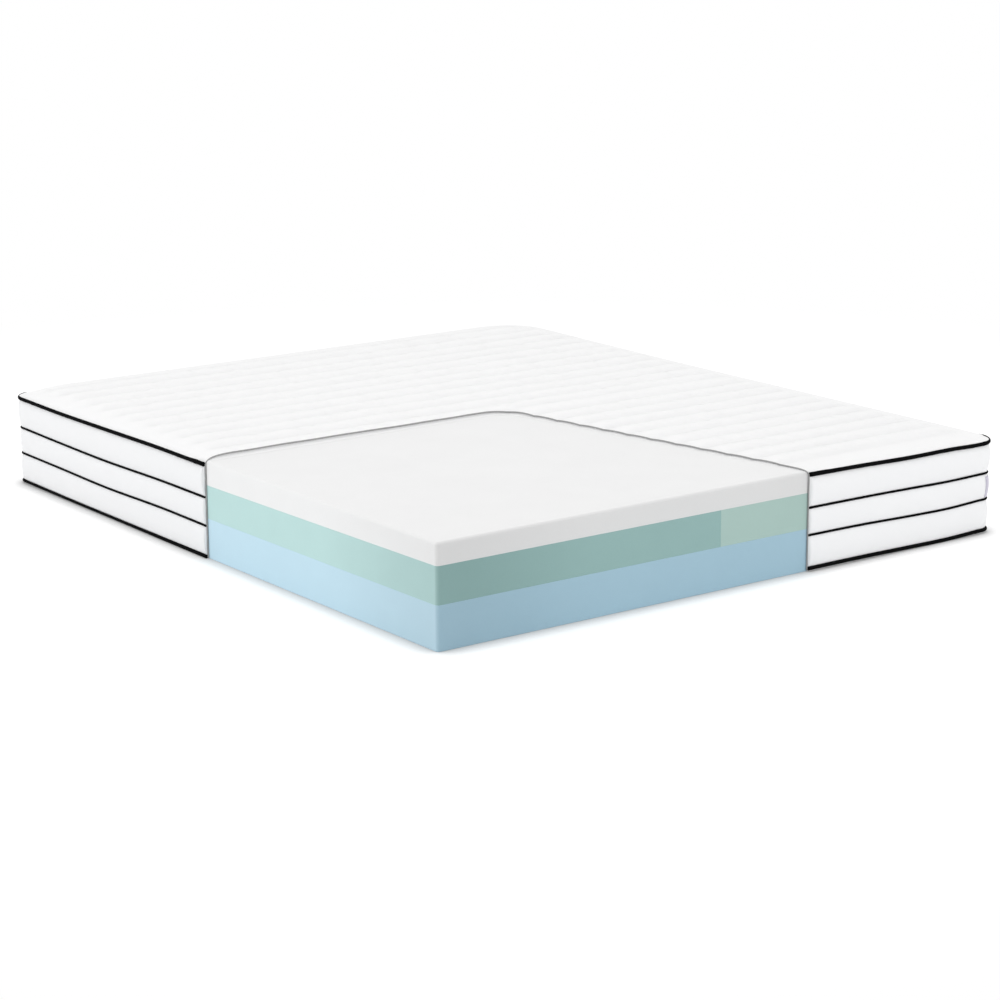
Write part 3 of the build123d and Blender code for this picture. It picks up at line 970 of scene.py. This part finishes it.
def bend_sleeve(px, py):
    cx, cy, qx, qy, far, size = round_roll(px, py, SLEEVE_RIM, SLEEVE_ROLL)
    angle = math.pi / 2 * (1 - far)
    x = cx + SLEEVE_ROLL * np.cos(angle) * qx / size
    y = cy + SLEEVE_ROLL * np.cos(angle) * qy / size
    # the upright corners are as round as the foam's
    mx, my = np.abs(x) - HALF_W + CORE_R, np.abs(y) - HALF_L + CORE_R
    past = np.hypot(np.maximum(mx, 0), np.maximum(my, 0))
    round_r = CORE_R + SLEEVE_OUT
    outside = (mx > 0) & (my > 0) & (past > round_r)
    pull = np.where(outside, round_r / np.maximum(past, 1e-9), 1)
    x = np.where(pull < 1, np.sign(x) * (HALF_W - CORE_R + mx * pull), x)
    y = np.where(pull < 1, np.sign(y) * (HALF_L - CORE_R + my * pull), y)
    wave = 0.0001 * ripples(81, 0.05, 0.3, 5)(x + 0.3 * y)
    z = CORE_TOP + SLEEVE_OUT - SLEEVE_ROLL * (1 - np.sin(angle)) + wave - pressed(x, y)
    return np.stack([x, y, z], -1)


def inner_sleeve():
    rows = np.linspace(-HALF_L + 0.03, HALF_L - 0.03, 60)
    sides = [(0.0, z) for z in (0.21, 0.17, 0.13, 0.09, 0.05, 0.012, 0.0062)]
    obj = open_sheet("sleeve_cloth", SLEEVE_RIM, SLEEVE_ROLL, 0.004, rows, bend_sleeve, sides)
    thicken(obj, SLEEVE_THICKNESS)
    place(obj, SLEEVE, ["inner_sleeve"])


inner_sleeve()


# cord along the cut edge of the cover

def tube(name, points, radius, sides):
    """A round cord along a dense line of points."""
    points = np.asarray(points, float)
    ahead = np.gradient(points, axis=0)
    ahead /= np.linalg.norm(ahead, axis=1)[:, None]
    side = np.cross(ahead, [0.57, -0.57, 0.59])
    side /= np.linalg.norm(side, axis=1)[:, None]
    upright = np.cross(side, ahead)
    angles = np.linspace(0, 2 * math.pi, sides, endpoint=False)
    cos, sin = np.cos(angles)[None, :, None], np.sin(angles)[None, :, None]
    ring = side[:, None, :] * cos + upright[:, None, :] * sin
    n, m = len(points), sides
    along = np.concatenate([[0], np.cumsum(np.linalg.norm(np.diff(points, axis=0), axis=1))])
    lengths = np.repeat(along[:, None], m, 1)
    girths = np.repeat(angles[None, :] * radius, n, 0)
    uvs = np.stack([lengths, girths], -1).reshape(-1, 2)
    verts = (points[:, None, :] + radius * ring).reshape(-1, 3)
    obj = new_object(name, verts, tube_faces(n, m), uvs)
    outward(obj)
    return obj


def cut_edge():
    """Up the side, over the top along the cover's cut edge, and down the end."""
    gap = CUT_CORD_R + 0.0004
    drop = -0.0008
    inner = np.array(RIM) - ROLL
    roll = np.linspace(0.999, 0, 16)
    over_x = np.concatenate([-inner[0] - ROLL * roll, np.linspace(-inner[0], ARC_CENTRE[0], 90)[1:]])
    over = bend_cover(over_x, np.full_like(over_x, OPEN_Y)) + [0, -gap, drop]
    turns = np.linspace(0, ARC_TURN, 16)[1:]
    arc = ARC_CENTRE + OPEN_R * np.stack([np.sin(turns), np.cos(turns)], 1)
    arc = bend_cover(arc[:, 0], arc[:, 1])
    arc += np.stack([-gap * np.sin(turns), -gap * np.cos(turns), np.full_like(turns, drop)], 1)
    last_y = ARC_CENTRE[1] + OPEN_R * END_OUT[1]
    line_y = np.concatenate([np.linspace(last_y, -inner[1], 100)[1:], -inner[1] - ROLL * roll[::-1][1:]])
    line = bend_cover(opening_x(line_y), line_y) + [-gap * END_OUT[0], -gap * END_OUT[1], drop]
    up_z = np.arange(0.0035, over[0, 2] - 0.003, 0.005)
    up = np.stack([np.full_like(up_z, over[0, 0]), np.full_like(up_z, over[0, 1]), up_z], 1)
    down_z = np.arange(0.0035, line[-1, 2] - 0.003, 0.005)[::-1]
    down = np.stack([np.full_like(down_z, line[-1, 0]), np.full_like(down_z, line[-1, 1]), down_z], 1)
    obj = tube("cut_edge_binding", np.concatenate([up, over, arc, line, down]), CUT_CORD_R, 10)
    return place(obj, GREY_CORD, ["cut_edge_cord"])


cut_edge()


# foam core: cut slabs with softened edges

def joint_drop(x, y, most):
    """How far a joint between two layers runs below level: most on the side beside the cover, and
    none at the corner."""
    across = 1 - smoothstep(0.0, 0.5, x + HALF_W)
    along = np.clip((y + HALF_L) / (OPEN_Y + HALF_L), 0, 1) * (1 - smoothstep(OPEN_Y, OPEN_Y + 0.35, y))
    return most * float(across * along)


def slab(name, low, high, top_r, x_range=None, drops=(0.0, 0.0), lip=None, under_cover=False):
    bm = bmesh.new()
    bmesh.ops.create_cube(bm, size=1)
    x0, x1 = x_range or (-HALF_W, HALF_W)
    for v in bm.verts:
        v.co = (x0 if v.co.x < 0 else x1, -HALF_L if v.co.y < 0 else HALF_L, low if v.co.z < 0 else high)
    for sx, sy in ((-1, -1), (1, -1), (1, 1), (-1, 1)):
        edges = [e for e in bm.edges if all(v.co.x * sx > 0.5 and v.co.y * sy > 0.5 for v in e.verts)]
        if edges:
            r = SHOWN_R if (sx, sy) == (-1, -1) else CORE_R
            bmesh.ops.bevel(bm, geom=edges, offset=r, segments=8, affect="EDGES", profile=0.5)
    rim = [e for e in bm.edges if all(v.co.z > high - 1e-6 for v in e.verts) and len(e.link_faces) == 2]
    bmesh.ops.bevel(bm, geom=rim, offset=top_r, segments=6, affect="EDGES", profile=0.5)
    for axis, half in ((0, HALF_W), (1, HALF_L)):
        for at in np.arange(-half + 0.06, half - 0.05, 0.035):
            slice_mesh(bm, axis, at)
    for at in np.arange(low + 0.018, high - 0.012, 0.018):
        slice_mesh(bm, 2, at)
    wave_x, wave_y = ripples(91, 0.12, 0.5, 4), ripples(93, 0.12, 0.5, 4)
    for v in bm.verts:
        x, y, z = v.co
        if x < -HALF_W + 1e-5 and -HALF_L + 0.04 < y:
            v.co.x += CUT_WAVE * float(wave_y(y)) * float(np.cos(40 * z))
        if y < -HALF_L + 1e-5 and -HALF_W + 0.04 < x:
            v.co.y += CUT_WAVE * float(wave_x(x)) * float(np.cos(40 * z))
        share = (z - low) / (high - low)
        v.co.z -= (1 - share) * joint_drop(x, y, drops[0]) + share * joint_drop(x, y, drops[1])
        if under_cover:
            v.co.z -= share * float(pressed(x, y))
        # at the opening the foam hangs over the edge of the cloth under it
        if lip is not None and z < low + 1e-6:
            if (x < -HALF_W + 0.02 and y < OPEN_Y + 0.02) or (y < -HALF_L + 0.02 and x < OPEN_X + 0.02):
                v.co.z = lip
    bm.normal_update()
    mesh = bpy.data.meshes.new(name)
    bm.to_mesh(mesh)
    bm.free()
    mesh.polygons.foreach_set("use_smooth", np.ones(len(mesh.polygons), bool))
    mesh.set_sharp_from_angle(angle=math.radians(40))
    obj = linked(name, mesh)
    faces_flat = obj.modifiers.new("faces_flat", "WEIGHTED_NORMAL")
    faces_flat.keep_sharp = True
    return obj


# rounding of the shown corner, of the edges at the joints and of the top's edge
SHOWN_R, SEAM_R, TOP_R = 0.010, 0.0006, 0.0085
CUT_WAVE = 0.00025
BASE_DROP, TRANSITION_DROP = 0.005, 0.010
JOINT_GAP = 0.0001
firm_x = (-HALF_W, BLOCK_JOINT_X - JOINT_GAP)
soft_x = (BLOCK_JOINT_X + JOINT_GAP, HALF_W)
firm_drops = (BASE_DROP, TRANSITION_DROP)
comfort_drops = (TRANSITION_DROP, 0.0)
base_foam = slab("foam_base", CORE_BOTTOM, BASE_TOP - JOINT_GAP, SEAM_R, drops=(0.0, BASE_DROP), lip=0.0008)
firm_foam = slab("foam_transition_firm", BASE_TOP, TRANSITION_TOP - JOINT_GAP, SEAM_R, firm_x, firm_drops)
soft_foam = slab("foam_transition_soft", BASE_TOP, TRANSITION_TOP - JOINT_GAP, SEAM_R, soft_x)
comfort_foam = slab("foam_comfort", TRANSITION_TOP, CORE_TOP, TOP_R, drops=comfort_drops, under_cover=True)
place(base_foam, FOAM_BLUE, ["base_layer"])
place(firm_foam, FOAM_GREEN, ["transition_block_firm"])
place(soft_foam, FOAM_PALE, ["transition_block_soft"])
place(comfort_foam, FOAM_WHITE, ["comfort_layer"])


# cloth under the foam, set back where the cover is cut away

BASE_CLOTH_OUT = 0.002
BASE_CLOTH_BACK = 0.046
BASE_CLOTH_Z = 0.0027
BASE_CLOTH_THICKNESS = 0.0022


def bottom_cloth():
    places, outs, _ = STATIONS
    back_x, back_y = -HALF_W + BASE_CLOTH_BACK, -HALF_L + BASE_CLOTH_BACK
    ring = [tuple(p) for p in places + outs * BASE_CLOTH_OUT]
    ring += [(OPEN_X, back_y), (back_x, back_y), (back_x, OPEN_Y)]
    bm = bmesh.new()
    bm.faces.new([bm.verts.new((x, y, BASE_CLOTH_Z)) for x, y in ring])
    for axis, half in ((0, HALF_W), (1, HALF_L)):
        for at in np.arange(-half + 0.05, half - 0.04, 0.05):
            slice_mesh(bm, axis, at)
    wave_x, wave_y = ripples(95, 0.15, 0.6, 4), ripples(97, 0.15, 0.6, 4)
    for v in bm.verts:
        v.co.z += 0.00015 * float(wave_x(v.co.x) * wave_y(v.co.y))
    verts = [tuple(v.co) for v in bm.verts]
    bm.verts.index_update()
    faces = [tuple(v.index for v in f.verts) for f in bm.faces]
    bm.free()
    obj = new_object("base_cloth_sheet", verts, faces, [(v[0], v[1]) for v in verts])
    face_along(obj, 2)
    thicken(obj, BASE_CLOTH_THICKNESS)
    place(obj, BASE_CLOTH, ["bottom_panel"])


bottom_cloth()


# zip along the far end: woven tapes, and coils that mesh with each other

ZIP_Y = (TAPE_LOW.y + TAPE_HIGH.y) / 2
ZIP_Z = (TAPE_LOW.z + TAPE_HIGH.z) / 2
ZIP_HALF = TAPE_HIGH.x
TAPE_WIDTH, TAPE_THICKNESS = 0.010, 0.0008
# heights of the tape's rows of points, from the middle of the zip
TAPE_RISE = np.array([0.0016, 0.003, 0.005, 0.0072, 0.0098])
COIL_OFF, COIL_TURN, COIL_WIRE, COIL_PITCH = 0.0018, 0.00075, 0.00032, 0.0021


def zip_side(name, node, sign):
    xs = np.linspace(-ZIP_HALF, ZIP_HALF, 200)
    rise = ZIP_Z + sign * TAPE_RISE
    wave = ripples(101 + sign, 0.06, 0.3, 5)(xs)
    verts = []
    for x, w in zip(xs, wave):
        for k, z in enumerate(rise):
            verts.append((x, ZIP_Y + 0.0004 + 0.00015 * w * k / 4, z))
    obj = new_object(name, verts, grid_faces(len(xs), len(rise)), [(v[0], v[2]) for v in verts])
    face_along(obj, 1)
    thicken(obj, TAPE_THICKNESS)
    place(obj, TAPE, [node])
    turns = int(ZIP_HALF * 2 / COIL_PITCH)
    t = np.linspace(0, 2 * math.pi * turns, turns * 8 + 1)
    shift = 0.25 * COIL_PITCH if sign > 0 else 0
    path = np.stack(
        [
            np.linspace(-ZIP_HALF, ZIP_HALF, len(t)) + shift,
            ZIP_Y + COIL_TURN * np.cos(t),
            ZIP_Z + sign * COIL_OFF + COIL_TURN * 1.05 * np.sin(t),
        ],
        1,
    )
    coil = tube(name.replace("tape", "coil"), path, COIL_WIRE, 5)
    place(coil, COIL)


zip_side("zip_tape_above", "zip_tape_upper", 1)
zip_side("zip_tape_below", "zip_tape_lower", -1)
for node in ("zip_slider", "zip_pull", "zip_end_stops"):
    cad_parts[node].data.materials.clear()
    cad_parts[node].data.materials.append(ZIP_METAL)


# studio: a white floor that keeps the contact shadow, soft light from all round, and a little more from
# above, from the left and from the front

FLOOR_HALF = 45.0
FLOOR_COLOUR = (0.90, 0.90, 0.90)
FLOOR_GLOW = 0.30
# the floor turns plain white between these distances from the middle
FLOOR_FADE = (1.9, 3.4)
CONTACT_REACH, CONTACT_DEPTH = 0.06, 0.42
WORLD_LIGHT = 0.86


def studio():
    corners = [(-1, -1), (1, -1), (1, 1), (-1, 1)]
    floor_mesh = bpy.data.meshes.new("floor")
    floor_mesh.from_pydata([(x * FLOOR_HALF, y * FLOOR_HALF, 0) for x, y in corners], [], [(0, 1, 2, 3)])
    floor = linked("floor", floor_mesh)
    floor.location.z = -0.0002
    made = material("floor_white", FLOOR_COLOUR, 1.0, specular=0.0)
    seen = seen_white(made)
    shader = shader_of(made)
    shader.inputs["Emission Color"].default_value = (1, 1, 1, 1)
    # a narrow contact shadow, which doesn't take light from the object
    near = add(made, "ShaderNodeAmbientOcclusion", Distance=CONTACT_REACH)
    contact = map_range(made, near.outputs["AO"], 0.5, 1.0, CONTACT_DEPTH, 0.0, "LINEAR")
    shadow = math_node(made, "MULTIPLY", contact, seen)
    tint(made, shadow, FLOOR_COLOUR, (0, 0, 0))
    lit = math_node(made, "SUBTRACT", 1.0, shadow)
    glow = math_node(made, "MULTIPLY", math_node(made, "MULTIPLY", seen, FLOOR_GLOW), lit)
    wire(made, glow, shader.inputs["Emission Strength"])
    coords = add(made, "ShaderNodeTexCoord")
    away = add(made, "ShaderNodeVectorMath", operation="LENGTH")
    wire(made, coords.outputs["Object"], away.inputs[0])
    fade = map_range(made, away.outputs["Value"], *FLOOR_FADE, 0.0, 1.0)
    white = add(made, "ShaderNodeEmission", Strength=1.0)
    mix_shaders(made, math_node(made, "MULTIPLY", fade, seen), shader, white, "Material Output")
    floor_mesh.materials.append(made)

    world = bpy.data.worlds.new("studio")
    bpy.context.scene.world = world
    world.use_nodes = True
    light = world.node_tree.nodes["Background"]
    light.inputs["Strength"].default_value = WORLD_LIGHT
    light.inputs["Color"].default_value = (1, 1, 1, 1)
    white = add(world, "ShaderNodeBackground", Strength=1.0, Color=(1, 1, 1, 1))
    mix_shaders(world, seen_white(world), light, white, "World Output")

    lamp("above", (0, 0, 5.0), (0, 0, 0), size=6.0, power=49)
    lamp("key", (-5.5, 1.2, 1.8), (0, 0, 0.1), size=3.5, power=32)
    lamp("fill", (1.5, -7.0, 1.4), (0, 0, 0.1), size=3.5, power=45)


def mix_shaders(made, factor, first, second, output):
    mix = add(made, "ShaderNodeMixShader")
    for source, target in zip((factor, first.outputs[0], second.outputs[0]), mix.inputs):
        wire(made, source, target)
    wire(made, mix.outputs[0], made.node_tree.nodes[output].inputs["Surface"])


def seen_white(made):
    """1 where the camera, a reflection or a view through something sees it, and 0 where it gives light."""
    path = add(made, "ShaderNodeLightPath")
    either = math_node(made, "MAXIMUM", path.outputs["Is Camera Ray"], path.outputs["Is Glossy Ray"])
    return math_node(made, "MAXIMUM", either, path.outputs["Is Transmission Ray"])


def lamp(name, place_at, target, size, power):
    data = bpy.data.lights.new(name, "AREA")
    data.shape, data.size, data.energy = "DISK", size, power
    obj = linked(name, data)
    obj.location = place_at
    obj.rotation_euler = (Vector(target) - Vector(place_at)).to_track_quat("-Z", "Y").to_euler()


# the camera that was fitted to the photo's piping, stripe and foam lines: yaw, pitch and roll in degrees
CAMERA_AT = (-4.2684, -5.8881, 1.8374)
CAMERA_TURN = (36.2668, 14.0705, -0.3083)
FOCAL_PIXELS, PICTURE_PIXELS = 2671.8, 1000
SENSOR_WIDTH = 36.0


def camera():
    data = bpy.data.cameras.new("camera")
    data.sensor_width = SENSOR_WIDTH
    data.lens = FOCAL_PIXELS * SENSOR_WIDTH / PICTURE_PIXELS
    obj = linked("camera", data)
    yaw, pitch, roll = (math.radians(a) for a in CAMERA_TURN)
    forward = Vector((math.sin(yaw) * math.cos(pitch), math.cos(yaw) * math.cos(pitch), -math.sin(pitch)))
    level = Vector((math.cos(yaw), -math.sin(yaw), 0))
    upright = level.cross(forward)
    right = math.cos(roll) * level + math.sin(roll) * upright
    up = -math.sin(roll) * level + math.cos(roll) * upright
    turn = Matrix((right, up, -forward)).transposed().to_4x4()
    obj.matrix_world = Matrix.Translation(CAMERA_AT) @ turn
    bpy.context.scene.camera = obj


studio()
camera()
bpy.context.scene.view_settings.view_transform = "Standard"
